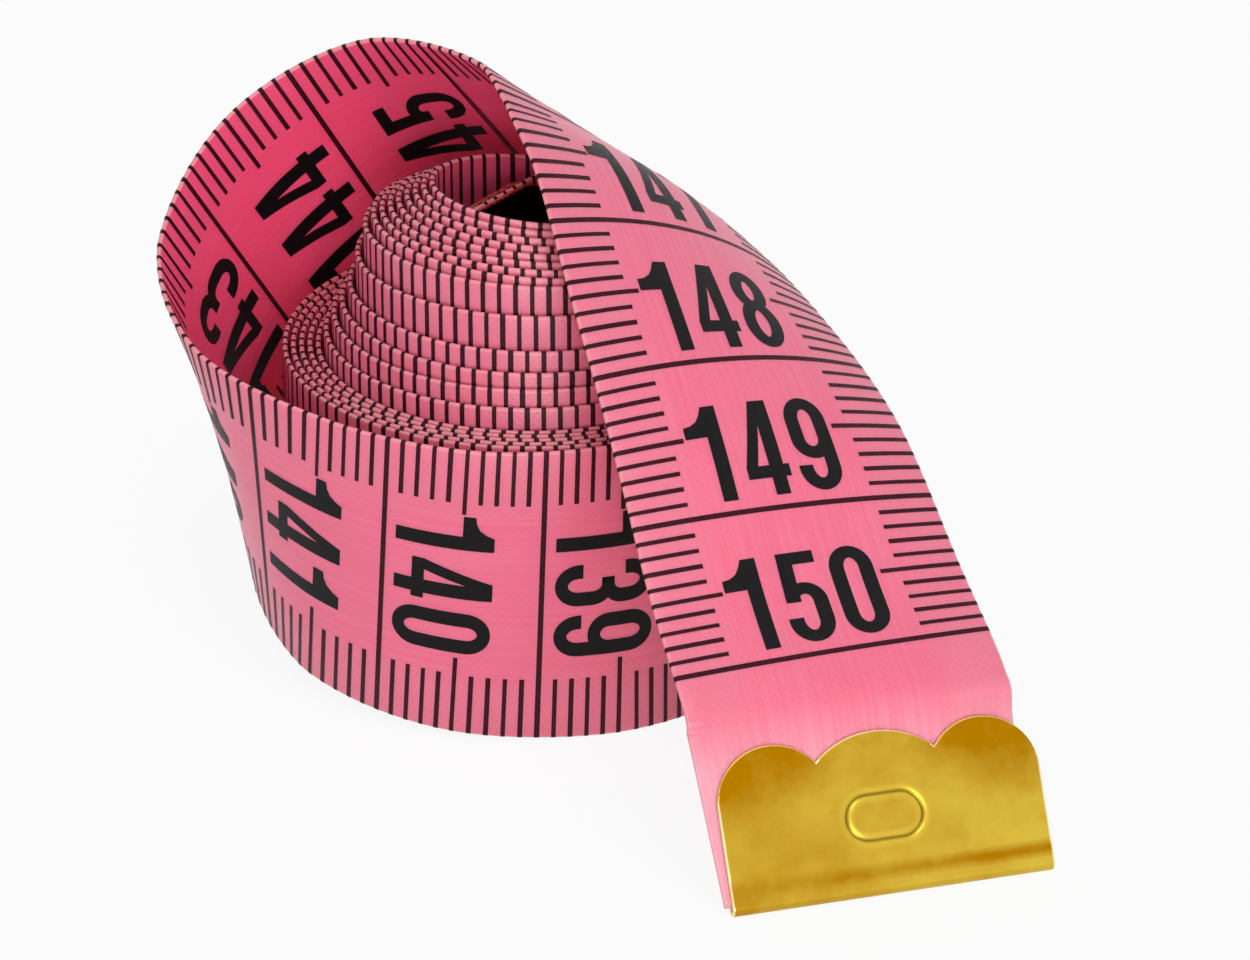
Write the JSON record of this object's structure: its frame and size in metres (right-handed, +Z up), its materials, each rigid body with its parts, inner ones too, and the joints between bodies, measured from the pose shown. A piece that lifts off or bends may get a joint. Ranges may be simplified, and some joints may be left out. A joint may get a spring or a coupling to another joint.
{
  "type": "cloth tape measure",
  "caption": "Pink cloth tailor's tape measure wound on edge into a coil with a raised core, its free end looped over the top and down to the floor, with folded brass end clips.",
  "frame": {"origin": "middle of the part's footprint, on the surface that it stands on", "axes": "+Z up, the picture's view looks along +Y with +X to the right"},
  "size_m": [0.0548, 0.0558, 0.0369],
  "materials": {
    "tape": "coated cloth, soft sheen",
    "brass": "polished sheet"
  },
  "bodies": {
    "coil": {"tape_coil": "tape", "tape_loop": "tape", "inner_end_clip": "brass"},
    "tail": {"tape_tail": "tape", "outer_end_clip": "brass"}
  },
  "joints": [
    {"name": "tail_lift", "type": "hinge", "parent": "coil", "child": "tail", "pos_m": [0.00155, 0.01498, 0.03033], "axis": [-0.6458, -0.4479, 0.6183], "range_deg": [0, 60]}
  ]
}
